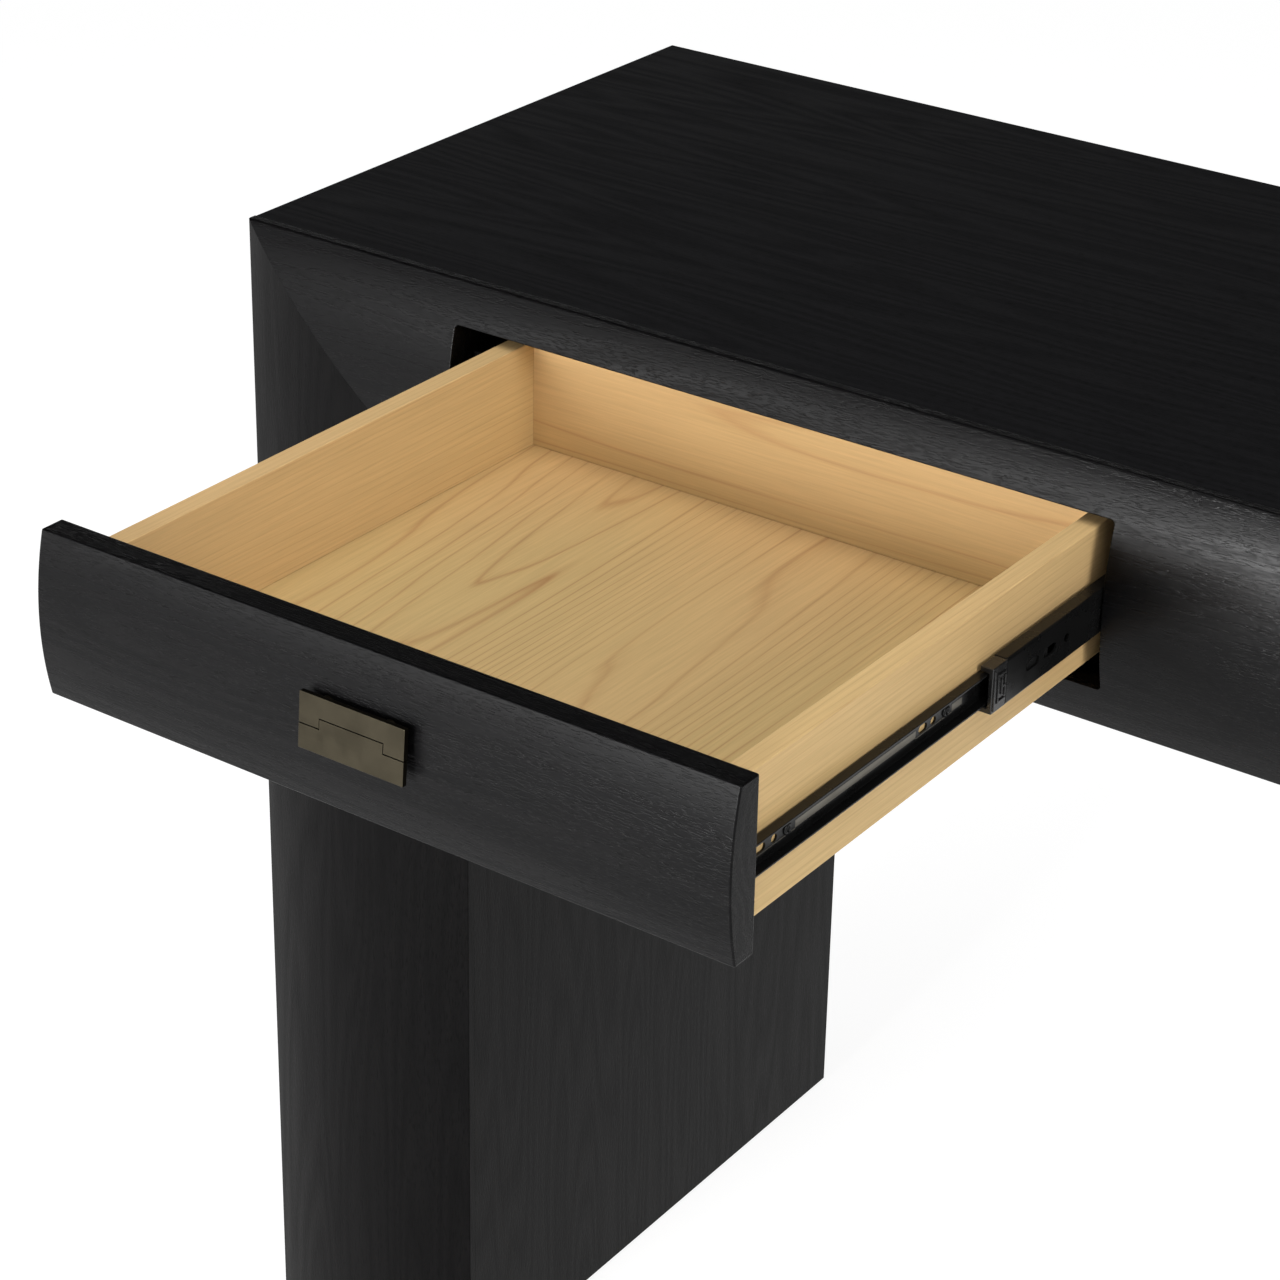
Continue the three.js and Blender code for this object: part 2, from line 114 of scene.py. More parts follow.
# ---- drop pulls
PULL = (67.0, 31.0, 3.0)  # length, height, thickness
PULL_SEAT = (394.0, -15.456, 767.5)  # on the left drawer's shut front
PULL_TILT = math.radians(-4.5)
PULL_TOP = 5.5
STANDOFF = 4.0
TONGUE = 41.0
TONGUE_TOP = 11.5
TONGUE_RISE = 2.5
SHOULDER = 17.1
SLIT = 0.35
PIN_DROP = 14.5
PIN_RADIUS = 0.75
BOSS_RADIUS = 4.5
BOSS_PLACE = 20.0
PULL_EDGE = 0.2
PIN_EDGE = 0.15
SHOULDER_GAP = 0.12

# ---- softness of the edges
SANDED = 1.1
EASED = 0.6
CRISP = 0.05
MITRE = 0.12
LIP = 0.8
SHALLOW = math.radians(12)

# ---- the pillow: an arc over the apron's height that stands BULGE proud in its middle
PILLOW_RADIUS = (APRON ** 2 / 4 + BULGE ** 2) / (2 * BULGE)
PILLOW_STEPS = 49

apron_bottom = HEIGHT - APRON
under_top = HEIGHT - PANEL - GLUE
before_back = DEPTH - PANEL - GLUE
corner_x, corner_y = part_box("leg_outer_panel_left")[0].x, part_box("top_panel")[0].y - FRAME_BACK / 1000
table_corner = np.array([corner_x, corner_y, 0.0])


def pillow(share):
    """How far the front stands out at a share of its width: a circle's height over the chord."""
    offset = APRON * (np.asarray(share) - 0.5)
    return np.sqrt(PILLOW_RADIUS ** 2 - offset ** 2) - (PILLOW_RADIUS - BULGE)


def pillow_normal(share):
    """Outward direction of the pillow at a share of its width: (across, out), out being towards the front."""
    across = APRON * (np.asarray(share) - 0.5) / PILLOW_RADIUS
    return across, np.sqrt(1 - across ** 2)


# ---- outlines
def rounded(outline, radius, steps=5):
    """A closed outline with rounded corners, as points and outward directions.

    Each corner turns into an arc about the point that lies one radius inside both of its sides. Corners that
    hardly turn stay one point, which faces midway between its sides. The result runs counter-clockwise."""
    p = np.asarray(outline, float)
    r = np.broadcast_to(np.asarray(radius, float), len(p))
    q = np.roll(p, -1, 0)
    if np.sum(p[:, 0] * q[:, 1] - q[:, 0] * p[:, 1]) < 0:
        p, r = p[::-1], r[::-1]
    side = np.roll(p, -1, 0) - p
    side /= np.linalg.norm(side, axis=1, keepdims=True)
    after = np.stack([side[:, 1], -side[:, 0]], 1)
    before = np.roll(after, 1, 0)
    cosine = np.sum(before * after, 1)
    turn = np.arctan2(before[:, 0] * after[:, 1] - before[:, 1] * after[:, 0], cosine)
    sharp = np.abs(turn) > SHALLOW
    reach = np.where(sharp, r * np.sign(turn), 0.0)
    mitre = (before + after) / (1 + cosine)[:, None]
    count = np.where(sharp, steps, 1)
    k = np.repeat(np.arange(len(p)), count)
    order = np.arange(len(k)) - np.repeat(np.cumsum(count) - count, count)
    share = np.where(sharp[k], order / (steps - 1), 0.5)
    angle = np.arctan2(before[:, 1], before[:, 0])[k] + share * turn[k]
    out = np.stack([np.cos(angle), np.sin(angle)], 1)
    return (p - reach[:, None] * mitre)[k] + reach[k][:, None] * out, out


def rectangle(a, b):
    """The outline between two pairs of limits."""
    return [(a[0], b[0]), (a[1], b[0]), (a[1], b[1]), (a[0], b[1])]


# ---- skins: points, faces as rows of point numbers, and a direction for every face corner
def skin(points, faces, directions):
    """One closed surface. If its signed volume is negative, every face is turned round."""
    points = np.asarray(points, float).reshape(-1, 3)
    directions = np.asarray(directions, float).reshape(-1, 3)
    corners = [np.asarray(f) for f in faces]
    fans = [(f[..., 0], f[..., i], f[..., i + 1]) for f in corners for i in range(1, f.shape[-1] - 1)]
    volume = sum(np.sum(points[a] * np.cross(points[b], points[c])) for a, b, c in fans)
    if volume < 0:
        corners = [f[..., ::-1] for f in corners]
    return points, corners, directions


def woven(rows, columns, closed=False):
    """Four-cornered faces between neighbours in a grid of points. A row runs back to its start, and where the
    grid is closed so does a column."""
    i = np.arange(rows if closed else rows - 1)[:, None]
    j = np.arange(columns)[None, :]
    down, right = (i + 1) % rows, (j + 1) % columns
    corners = (i * columns + j, i * columns + right, down * columns + right, down * columns + j)
    return np.stack(np.broadcast_arrays(*corners), -1).reshape(-1, 4)


# where x, y and z are found in (section's first, section's second, along)
AXES = {"x": (2, 0, 1), "y": (0, 2, 1), "z": (0, 1, 2)}


def carried(section, axis, ends, ease=(CRISP, CRISP), steps=4):
    """A section carried straight along an axis between two ends, which may lean: an end is a number, or a
    function of the section's two coordinates. Near an end the section draws in by a quarter round."""
    outline, out = section
    phi = np.linspace(math.pi / 2, 0, steps)
    inset = np.concatenate([ease[0] * (1 - np.cos(phi)), ease[1] * (1 - np.cos(phi[::-1]))])
    back = np.concatenate([ease[0] * (1 - np.sin(phi)), -ease[1] * (1 - np.sin(phi[::-1]))])
    tilt = np.concatenate([-phi, phi[::-1]])
    flat = outline[None] - inset[:, None, None] * out[None]
    place = [end(flat[..., 0], flat[..., 1]) if callable(end) else np.full(flat.shape[:2], float(end))
             for end in ends]
    along = np.where(np.arange(2 * steps)[:, None] < steps, place[0], place[1]) + back[:, None]
    pick = AXES[axis]
    points = np.concatenate([flat, along[..., None]], -1)[..., pick]
    level = np.broadcast_to(np.sin(tilt)[:, None, None], along.shape + (1,))
    directions = np.concatenate([np.cos(tilt)[:, None, None] * out[None], level], -1)[..., pick]
    n = len(outline)
    caps = [np.arange(n)[::-1], np.arange(n) + (2 * steps - 1) * n]
    return skin(points, [woven(2 * steps, n), *caps], directions)


def plank(x, y, z, grain, ease=EASED, corner=EASED):
    """A board between three pairs of limits, carried along its grain, with rounded edges."""
    limits = {"x": x, "y": y, "z": z}
    ends = limits.pop(grain)
    return carried(rounded(rectangle(*limits.values()), corner), grain, ends, (ease, ease))


def turned(profile, centre, axis, turns):
    """A profile of (radius, place along the axis) carried round the axis through a centre in equal turns."""
    profile = np.asarray(profile, float)
    angle = np.linspace(0, 2 * math.pi, turns, endpoint=False)
    slope = np.gradient(profile, axis=0)
    slope /= np.linalg.norm(slope, axis=1, keepdims=True)
    sign = np.sign(np.sum(profile[:, 0] * slope[:, 1])) or 1.0
    radial, level = slope[:, 1] * sign, -slope[:, 0] * sign
    ring = np.stack([np.cos(angle), np.sin(angle)], 1)
    flat = profile[:, 0][:, None, None] * ring[None]
    along = np.broadcast_to(profile[:, 1][:, None, None], flat.shape[:2] + (1,))
    pick = AXES[axis]
    points = np.concatenate([flat, along], -1)[..., pick] + np.asarray(centre, float)
    tip = np.broadcast_to(level[:, None, None], along.shape)
    directions = np.concatenate([radial[:, None, None] * ring[None], tip], -1)[..., pick]
    caps = [np.arange(turns)[::-1], np.arange(turns) + (len(profile) - 1) * turns]
    return skin(points, [woven(len(profile), turns), *caps], directions)


def moved(piece, shift=(0, 0, 0), mirror=False):
    """The same skin shifted, or reflected across the middle of the table and then shifted."""
    points, faces, directions = piece
    if mirror:
        flip = np.array([-1.0, 1.0, 1.0])
        points, directions = points * flip + (LENGTH, 0, 0), directions * flip
        faces = [f[..., ::-1] for f in faces]
    return points + np.asarray(shift, float), faces, directions


def build(name, skins, finish, body, nodes):
    """One object from skins. Points that coincide become one, faces that shrink to a line are left out, and
    flat ends look straight out."""
    points, faces, directions, start = [], [], [], 0
    for p, f, d in skins:
        points.append(p)
        directions.append(d)
        faces += [g + start for g in f]
        start += len(p)
    points, directions = np.concatenate(points), np.concatenate(directions)
    _, first, weld = np.unique(np.round(points, 4), axis=0, return_index=True, return_inverse=True)
    weld = weld.reshape(-1)
    rows, ways = [], []
    for f in faces:
        if f.ndim == 1:
            a, b = points[f], points[np.roll(f, -1)]
            way = np.cross(a, b).sum(0)
            keep = weld[f] != np.roll(weld[f], 1)
            rows.append(weld[f][keep].tolist())
            ways.append(np.broadcast_to(way / np.linalg.norm(way), (keep.sum(), 3)))
            continue
        same = weld[f] == weld[np.roll(f, 1, 1)]
        whole = f[same.sum(1) == 0]
        rows += weld[whole].tolist()
        ways.append(directions[whole].reshape(-1, 3))
        for quad, drop in zip(f[same.sum(1) == 1], same[same.sum(1) == 1]):
            rows.append(weld[quad[~drop]].tolist())
            ways.append(directions[quad[~drop]])
    mesh = bpy.data.meshes.new(name)
    mesh.from_pydata((points[first] / 1000 + table_corner).tolist(), [], rows)
    mesh.shade_smooth()
    mesh.normals_split_custom_set(np.concatenate(ways).tolist())
    mesh.materials.append(finish)
    piece = bpy.data.objects.new(name, mesh)
    bpy.context.scene.collection.objects.link(piece)
    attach(piece, body)
    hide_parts(*nodes)
    return piece


# ---- finishes
class Recipe:
    """Nodes of one finish, wired from left to right."""

    def __init__(self, name, **values):
        self.material = bpy.data.materials.new(name)
        self.material.use_nodes = True
        self.tree = self.material.node_tree
        self.shader = self.tree.nodes["Principled BSDF"]
        for socket, value in values.items():
            self.shader.inputs[socket.replace("_", " ")].default_value = value
        self.place = self.tree.nodes.new("ShaderNodeTexCoord").outputs["Object"]

    def add(self, kind, links=None, **settings):
        """A node with its settings, which are its own or its sockets', and its links."""
        node = self.tree.nodes.new("ShaderNode" + kind)
        for key, value in settings.items():
            if key in node.bl_rna.properties:
                setattr(node, key, value)
            else:
                node.inputs[key].default_value = value
        for key, source in (links or {}).items():
            self.tree.links.new(source, node.inputs[key])
        return node

    def stretched(self, scale, shift=(0.0, 0.0, 0.0)):
        """Places on the table, scaled and shifted."""
        return self.add("Mapping", {"Vector": self.place}, Scale=scale, Location=shift).outputs[0]

    def noise(self, vector, detail, roughness):
        made = self.add("TexNoise", {"Vector": vector}, Scale=1.0, Detail=detail, Roughness=roughness)
        return made.outputs["Fac"]

    def ramp(self, value, stops):
        """A value turned into the colours or greys at its stops."""
        ramp = self.add("ValToRGB", {"Fac": value})
        while len(ramp.color_ramp.elements) < len(stops):
            ramp.color_ramp.elements.new(0.5)
        for element, (at, colour) in zip(ramp.color_ramp.elements, stops):
            element.position = at
            element.color = (*(colour if isinstance(colour, tuple) else (colour,) * 3), 1.0)
        return ramp.outputs["Color"]

    def math(self, operation, *values):
        node = self.add("Math", operation=operation)
        for i, value in enumerate(values):
            if isinstance(value, (int, float)):
                node.inputs[i].default_value = value
            else:
                self.tree.links.new(value, node.inputs[i])
        return node.outputs[0]

    def blend(self, factor, a, b, kind="MIX"):
        """Two colours blended; the mixing node keeps its colours in sockets 6 and 7 and its result in 2."""
        node = self.add("Mix", data_type="RGBA", blend_type=kind)
        for i, value in ((0, factor), (6, a), (7, b)):
            if isinstance(value, (int, float)):
                node.inputs[i].default_value = value
            elif isinstance(value, tuple):
                node.inputs[i].default_value = (*value, 1.0)
            else:
                self.tree.links.new(value, node.inputs[i])
        return node.outputs[2]

    def wire(self, **links):
        for socket, source in links.items():
            self.tree.links.new(source, self.shader.inputs[socket.replace("_", " ")])

    def bump(self, height, strength, distance):
        return self.add("Bump", {"Height": height}, Strength=strength, Distance=distance).outputs[0]


def along(grain, lengthwise, crosswise):
    """Scale of a pattern that is stretched along the grain."""
    return tuple(lengthwise if axis == grain else crosswise for axis in "xyz")


def black_oak(name, grain, dark, light, gloss, specular, relief):
    """Open-grained oak under a thin black stain: dark fibres, short pores along the grain, satin lacquer."""
    oak = Recipe(name, Specular_IOR_Level=specular)
    fibres = oak.noise(oak.stretched(along(grain, 22, 620)), 3.0, 0.6)
    pores = oak.noise(oak.stretched(along(grain, 170, 1500)), 1.0, 0.5)
    figure = oak.noise(oak.stretched(along(grain, 1.6, 17)), 1.5, 0.45)
    rings = oak.math("PINGPONG", oak.math("MULTIPLY", figure, 34.0), 1.0)
    mixed = oak.math("ADD", oak.math("MULTIPLY", fibres, 0.65), oak.math("MULTIPLY", rings, 0.35))
    colour = oak.ramp(mixed, [(0.25, dark), (0.75, light)])
    pore_mask = oak.ramp(pores, [(0.36, 0.35), (0.47, 1.0)])
    colour = oak.blend(1.0, colour, pore_mask, "MULTIPLY")
    sheen = oak.ramp(mixed, [(0.2, gloss + 0.09), (0.8, gloss - 0.05)])
    height = oak.math("ADD", oak.math("MULTIPLY", fibres, 0.5), pore_mask)
    oak.wire(Base_Color=colour, Roughness=sheen, Normal=oak.bump(height, relief, 0.00012))
    return oak.material


def pale_maple(name, grain, warm, cool, line, drift, straight, boldness, shift=(0.0, 0.0, 0.0)):
    """Clear-lacquered pale wood. Growth lines are the level lines of a soft noise plus a straight slope."""
    wood = Recipe(name, Specular_IOR_Level=0.25)

    def noise(lengthwise, crosswise, detail, roughness):
        return wood.noise(wood.stretched(along(grain, lengthwise, crosswise), shift), detail, roughness)

    figure, wobble = noise(0.7, 7.0, 1.2, 0.35), noise(3.5, 45, 1.0, 0.5)
    field = wood.math("ADD", wood.math("MULTIPLY", figure, drift), wobble)
    parts = wood.add("SeparateXYZ", {"Vector": wood.place}).outputs
    across = [parts[i] for i, axis in enumerate("xyz") if axis != grain]
    slope = wood.math("MULTIPLY", wood.math("ADD", *across), straight)
    rings = wood.math("FRACT", wood.math("ADD", field, slope))
    lines = wood.ramp(rings, [(0.0, 0.9), (0.05, 0.3), (0.16, 0.06), (0.6, 0.0), (0.9, 0.08), (1.0, 0.9)])
    fibres = noise(18, 700, 3.0, 0.65)
    colour = wood.blend(wood.ramp(noise(2.2, 5.0, 1.0, 0.5), [(0.35, 0.0), (0.65, 1.0)]), warm, cool)
    strength = wood.math("MULTIPLY", noise(5, 12, 1.0, 0.5), 1.6 * boldness)
    colour = wood.blend(wood.math("MULTIPLY", lines, strength), colour, line)
    colour = wood.blend(0.55, colour, wood.ramp(fibres, [(0.3, 0.84), (0.7, 1.1)]), "MULTIPLY")
    sheen = wood.ramp(fibres, [(0.3, 0.52), (0.7, 0.42)])
    wood.wire(Base_Color=colour, Roughness=sheen, Normal=wood.bump(fibres, 0.12, 0.0001))
    return wood.material


def metal(name, colour, rough, metallic, grain, contrast, specular=0.5):
    """Metal or its coating: long faint brush marks and a soft cloudiness in the sheen."""
    steel = Recipe(name, Metallic=metallic, Specular_IOR_Level=specular)
    brush = steel.noise(steel.stretched(along(grain, 25, 1600)), 2.0, 0.6)
    cloud = steel.noise(steel.stretched((60, 60, 60)), 3.0, 0.6)
    mixed = steel.math("ADD", steel.math("MULTIPLY", brush, 0.5), steel.math("MULTIPLY", cloud, 0.5))
    tone = steel.ramp(mixed, [(0.3, 1.0 - contrast), (0.7, 1.0 + contrast)])
    colour = steel.blend(1.0, colour, tone, "MULTIPLY")
    sheen = steel.ramp(cloud, [(0.3, rough - 0.05), (0.7, rough + 0.07)])
    steel.wire(Base_Color=colour, Roughness=sheen, Normal=steel.bump(brush, 0.08, 0.00005))
    return steel.material


def plastic(name, colour, rough):
    """Moulded plastic with a fine even grain."""
    made = Recipe(name, Specular_IOR_Level=0.5)
    grain = made.noise(made.stretched((1400, 1400, 1400)), 1.0, 0.5)
    flow = made.noise(made.stretched((90, 90, 90)), 2.0, 0.5)
    colour = made.blend(1.0, colour, made.ramp(flow, [(0.3, 0.85), (0.7, 1.15)]), "MULTIPLY")
    sheen = made.ramp(flow, [(0.3, rough - 0.06), (0.7, rough + 0.06)])
    made.wire(Base_Color=colour, Roughness=sheen, Normal=made.bump(grain, 0.1, 0.00004))
    return made.material


oak_top = black_oak("black_oak_top", "x", dark=(0.0060, 0.0060, 0.0067), light=(0.0078, 0.0078, 0.0086),
                    gloss=0.5, specular=0.03, relief=0.12)
oak_long = black_oak("black_oak_long", "x", dark=(0.0008, 0.0008, 0.0010), light=(0.0028, 0.0026, 0.0028),
                     gloss=0.27, specular=0.112, relief=0.65)
oak_face = black_oak("black_oak_face", "x", dark=(0.0014, 0.0014, 0.0016), light=(0.0040, 0.0038, 0.0040),
                     gloss=0.26, specular=0.085, relief=0.7)
oak_upright = black_oak("black_oak_upright", "z", dark=(0.0009, 0.0008, 0.0009),
                        light=(0.0028, 0.0026, 0.0027), gloss=0.34, specular=0.06, relief=0.4)
WARM, COOL, LINE = (0.655, 0.430, 0.201), (0.615, 0.441, 0.197), (0.42, 0.222, 0.09)
WARM_END, COOL_END = (0.605, 0.402, 0.187), (0.57, 0.412, 0.183)
maple_side = pale_maple("pale_maple_side", "y", WARM, COOL, LINE, drift=16.0, straight=230.0, boldness=0.42)
maple_back = pale_maple("pale_maple_back", "x", WARM_END, COOL_END, LINE, drift=34.0, straight=75.0,
                        boldness=0.55, shift=(3.1, 0.7, 1.9))
maple_bottom = pale_maple("pale_maple_bottom", "y", WARM, COOL, LINE, drift=34.0, straight=95.0,
                          boldness=0.8, shift=(0.35, 2.2, 0.4))
steel_black = metal("black_slide_steel", (0.005, 0.005, 0.005), rough=0.28, metallic=0.0, grain="y",
                    contrast=0.25, specular=0.22)
# painted reflection: a light steel colour for bands of the black slide web, standing in for the web's
# reflection
painted_reflection_steel = metal("painted_reflection_slide_steel", (0.20, 0.185, 0.155), rough=0.34, metallic=1.0, grain="y",
                   contrast=0.2)
bronze = metal("dark_bronze", (0.0325, 0.0278, 0.0185), rough=0.37, metallic=1.0, grain="x", contrast=0.07)
retainer_plastic = plastic("black_retainer_plastic", (0.010, 0.010, 0.010), rough=0.28)
glide_plastic = plastic("dark_glide_plastic", (0.02, 0.019, 0.018), rough=0.5)


# ---- front frame
def opened_half():
    """Left half of the apron, as a loop of rounds and flats carried about the drawer opening.

    Every loop has the same number of points, from the opening's lip, over the pillow to the outer edge, round
    it, across the back and home through the opening's wall. In between, a point moves straight from the
    opening's outline to the outer outline, and its depth is the pillow's at its own height."""
    x0, x1, z0, z1 = OPENING
    r = OPENING_CORNER
    middle, low = LENGTH / 2, apron_bottom
    inner = np.array([(x0, z1), (x1, z1), (x1, z0), (x0, z0)], float)
    outer = np.array([(0, HEIGHT), (middle, HEIGHT), (middle, low), (LEG_WIDTH, low)], float)
    mitre = outer[0] - outer[3]
    mitre_out = np.array([-mitre[1], mitre[0]]) / np.linalg.norm(mitre)
    sides_out = np.array([(0, 1), (1, 0), (0, -1), (-1, 0)], float)
    outer_out = [*sides_out[:3], mitre_out]
    soft = (SANDED, 0.0, SANDED, CRISP)
    points_along = (84, 22, 84, 22)
    arc = np.linspace(-math.pi / 4, 0, 4)
    hole, away, rim, rim_soft, rim_out = [], [], [], [], []
    for i, count in enumerate(points_along):
        a, b, n = inner[i], inner[(i + 1) % 4], sides_out[i]
        run = (b - a) / np.linalg.norm(b - a)
        length = np.linalg.norm(b - a) - 2 * r
        start = a + (run - n) * r
        lead_out, tail_out = (np.cos(turn)[:, None] * n + np.sin(turn)[:, None] * run
                              for turn in (arc, -arc[:0:-1]))
        straight = start + r * n + np.linspace(0, length, count)[1:-1, None] * run
        end = start + length * run
        side = np.concatenate([start + r * lead_out, straight, end + r * tail_out])
        closing = np.concatenate([side, [end + r * (n + run) / math.sqrt(2)]])
        step = np.linalg.norm(np.diff(closing, axis=0), axis=1)
        share = np.concatenate([[0], np.cumsum(step)[:-1]]) / step.sum()
        hole.append(side)
        away.append(np.concatenate([lead_out, np.broadcast_to(n, straight.shape), tail_out]))
        rim.append(outer[i] + share[:, None] * (outer[(i + 1) % 4] - outer[i]))
        rim_soft.append(np.full(len(side), soft[i]))
        rim_out.append(np.broadcast_to(outer_out[i], side.shape))
    corner = np.cumsum([0, *(len(side) for side in hole[:-1])])
    hole, away, rim, rim_soft, rim_out = (np.concatenate(v) for v in (hole, away, rim, rim_soft, rim_out))

    def drawn_in(share):
        """The outer outline drawn in by a share of each side's round; at a corner both sides are drawn in."""
        inset = rim - (rim_soft * share)[:, None] * rim_out
        for c in corner:
            sides = np.array([rim_out[c - 1], rim_out[c]])
            inset[c] = rim[c] - np.linalg.solve(sides, np.array([rim_soft[c - 1], rim_soft[c]]) * share)
        return inset

    def front(flat, depth=0.0):
        return np.stack([flat[:, 0], -pillow((HEIGHT - flat[:, 1]) / APRON) + depth, flat[:, 1]], 1)

    def facing(flat):
        across, out = pillow_normal((HEIGHT - flat[:, 1]) / APRON)
        return np.stack([0 * across, -out, -across], 1)

    def spread(flat):
        return np.stack([flat[:, 0], 0 * flat[:, 0], flat[:, 1]], 1)

    def unit(v):
        return v / np.linalg.norm(v, axis=1, keepdims=True)

    loops, ways = [], []
    for phi in np.linspace(math.pi / 2, 0, 5):
        flat = hole + away * LIP * (1 - math.sin(phi))
        loops.append(front(flat, LIP * (1 - math.cos(phi))))
        ways.append(unit(math.cos(phi) * facing(flat) - math.sin(phi) * spread(away)))
    first, last = hole + away * LIP, drawn_in(1.0)
    for share in np.linspace(0, 1, 16)[1:-1]:
        flat = first + share * (last - first)
        loops.append(front(flat))
        ways.append(facing(flat))
    for phi in np.linspace(0, math.pi / 2, 5):
        flat = drawn_in(1 - math.sin(phi))
        loops.append(front(flat, rim_soft * (1 - math.cos(phi))))
        ways.append(unit(math.cos(phi) * facing(flat) + math.sin(phi) * spread(rim_out)))
    back = FRAME_BACK - CRISP
    straight_back = np.broadcast_to((0.0, 1.0, 0.0), (len(hole), 3))
    for flat, y, way in ((rim, back - CRISP, spread(rim_out)), (drawn_in(0.0), back, straight_back),
                         (hole + away * CRISP, back, straight_back), (hole, back - CRISP, -spread(away))):
        loops.append(np.stack([flat[:, 0], np.full(len(flat), y), flat[:, 1]], 1))
        ways.append(way)
    points, ways = np.concatenate(loops), np.concatenate(ways)
    faces = woven(len(loops), len(hole), closed=True)
    points, (faces,), ways = skin(points, [faces], ways)
    in_the_middle = np.all(np.abs(points[faces][..., 0] - middle) < 1e-6, axis=1)
    return points, [faces[~in_the_middle]], ways


half = opened_half()
build("front_apron_pillow", [half, moved(half, mirror=True)], oak_long, "table", ["front_apron"])


def top_round(start, end):
    """Points on the round between the table's left side, where the angle is 0, and its top."""
    a = np.linspace(start, end, 5)
    return np.stack([SANDED - SANDED * np.cos(a), HEIGHT - SANDED + SANDED * np.sin(a)], 1)


def board(name, part, finish, node, right=False):
    """A fixed board of the black frame, drawn on the left and reflected for the right side."""
    return build(name, [moved(part, mirror=right)], finish, "table", [node])


share = np.linspace(0, 1, PILLOW_STEPS)
depth = (FRAME_BACK, DEPTH)
for side in ("left", "right"):
    right = side == "right"
    section = np.concatenate([[(0, FRAME_BACK - CRISP)], np.stack([LEG_WIDTH * share, -pillow(share)], 1),
                              [(LEG_WIDTH, FRAME_BACK - CRISP)]])
    soft = np.full(len(section), CRISP)
    soft[[1, -2]] = SANDED
    leg = carried(rounded(section, soft), "z", (FOOT, lambda x, y: HEIGHT - CRISP - x * APRON / LEG_WIDTH))
    board(f"leg_front_pillow_{side}", leg, oak_upright, f"leg_front_{side}", right)

    outline = np.concatenate([[(0, FOOT), (PANEL, FOOT), (PANEL, HEIGHT - PANEL)], top_round(math.pi / 4, 0)])
    soft = [SANDED, EASED, MITRE, MITRE, CRISP, CRISP, CRISP, CRISP]
    outer = carried(rounded(outline, soft), "y", depth, (CRISP, MITRE))
    board(f"leg_outer_board_{side}", outer, oak_upright, f"leg_outer_panel_{side}", right)
    outline = rectangle((LEG_WIDTH - PANEL, LEG_WIDTH), (FOOT, under_top))
    inner = carried(rounded(outline, EASED), "y", depth, (CRISP, EASED))
    board(f"leg_inner_board_{side}", inner, oak_upright, f"leg_inner_panel_{side}", right)
    between = (PANEL + GLUE, LEG_WIDTH - PANEL - GLUE)
    back = plank(between, (DEPTH - PANEL, DEPTH), (FOOT, under_top), "z")
    board(f"leg_back_board_{side}", back, oak_upright, f"leg_back_panel_{side}", right)
    base = plank(between, (FRAME_BACK, before_back), (FOOT, FOOT + PANEL), "y")
    board(f"leg_base_board_{side}", base, oak_upright, f"leg_base_{side}", right)

left_edge = np.concatenate([[(PANEL, HEIGHT - PANEL)], top_round(math.pi / 4, math.pi / 2)])
right_edge = left_edge[::-1] * (-1, 1) + (LENGTH, 0)
top = carried(rounded(np.concatenate([left_edge, right_edge]), MITRE), "y", depth, (CRISP, MITRE))
board("top_board", top, oak_top, "top_panel")
between_legs = (LEG_WIDTH + GLUE, LENGTH - LEG_WIDTH - GLUE)
back_board = plank(between_legs, (DEPTH - PANEL, DEPTH), (apron_bottom, under_top), "x")
board("back_apron_board", back_board, oak_long, "back_apron")
case_floor = plank(between_legs, (FRAME_BACK, before_back), (apron_bottom, apron_bottom + CASE_BOTTOM), "x")
board("case_bottom_board", case_floor, oak_long, "case_bottom")

for side in ("left", "right"):
    right = side == "right"
    above_case = (apron_bottom + CASE_BOTTOM + GLUE, under_top)
    rib = plank(PARTITION, (FRAME_BACK, before_back), above_case, "y")
    board(f"partition_board_{side}", rib, oak_long, f"drawer_partition_{side}", right)
    packer_height = (SLIDE_Z - PACKER_HALF_HEIGHT, SLIDE_Z + PACKER_HALF_HEIGHT)
    packer = plank((LEG_WIDTH + GLUE, PACKER_FACE), SLIDE, packer_height, "y")
    board(f"slide_packer_{side}", packer, oak_long, f"slide_spacer_{side}", right)

    for end, y in (("front", FRAME_BACK + GLIDE_INSET[1]), ("back", DEPTH - PANEL - GLIDE_INSET[1])):
        for edge, x in (("outer", GLIDE_INSET[0]), ("inner", LEG_WIDTH - GLIDE_INSET[0])):
            foot = moved(turned(GLIDE, (x, y, 0), "z", 32), mirror=right)
            build(f"foot_glide_{side}_{end}_{edge}", [foot], glide_plastic, "table",
                  [f"glide_{side}_{end}_{edge}"])


# ---- drawers
def drawer_front():
    """The pillow between the drawer front's two edges, closed by its flat back, carried along the drawer."""
    x0, x1, z0, z1 = OPENING
    top, bottom = HEIGHT - z1 + FRONT_GAP, HEIGHT - z0 - FRONT_GAP
    share = np.linspace(top / APRON, bottom / APRON, PILLOW_STEPS)
    face = np.stack([-pillow(share), HEIGHT - share * APRON], 1)
    section = np.concatenate([[(SHUT_FACE, z1 - FRONT_GAP)], face, [(SHUT_FACE, z0 + FRONT_GAP)]])
    return carried(rounded(section, SANDED), "x", (x0 + FRONT_GAP, x1 - FRONT_GAP), (SANDED, SANDED), 5)


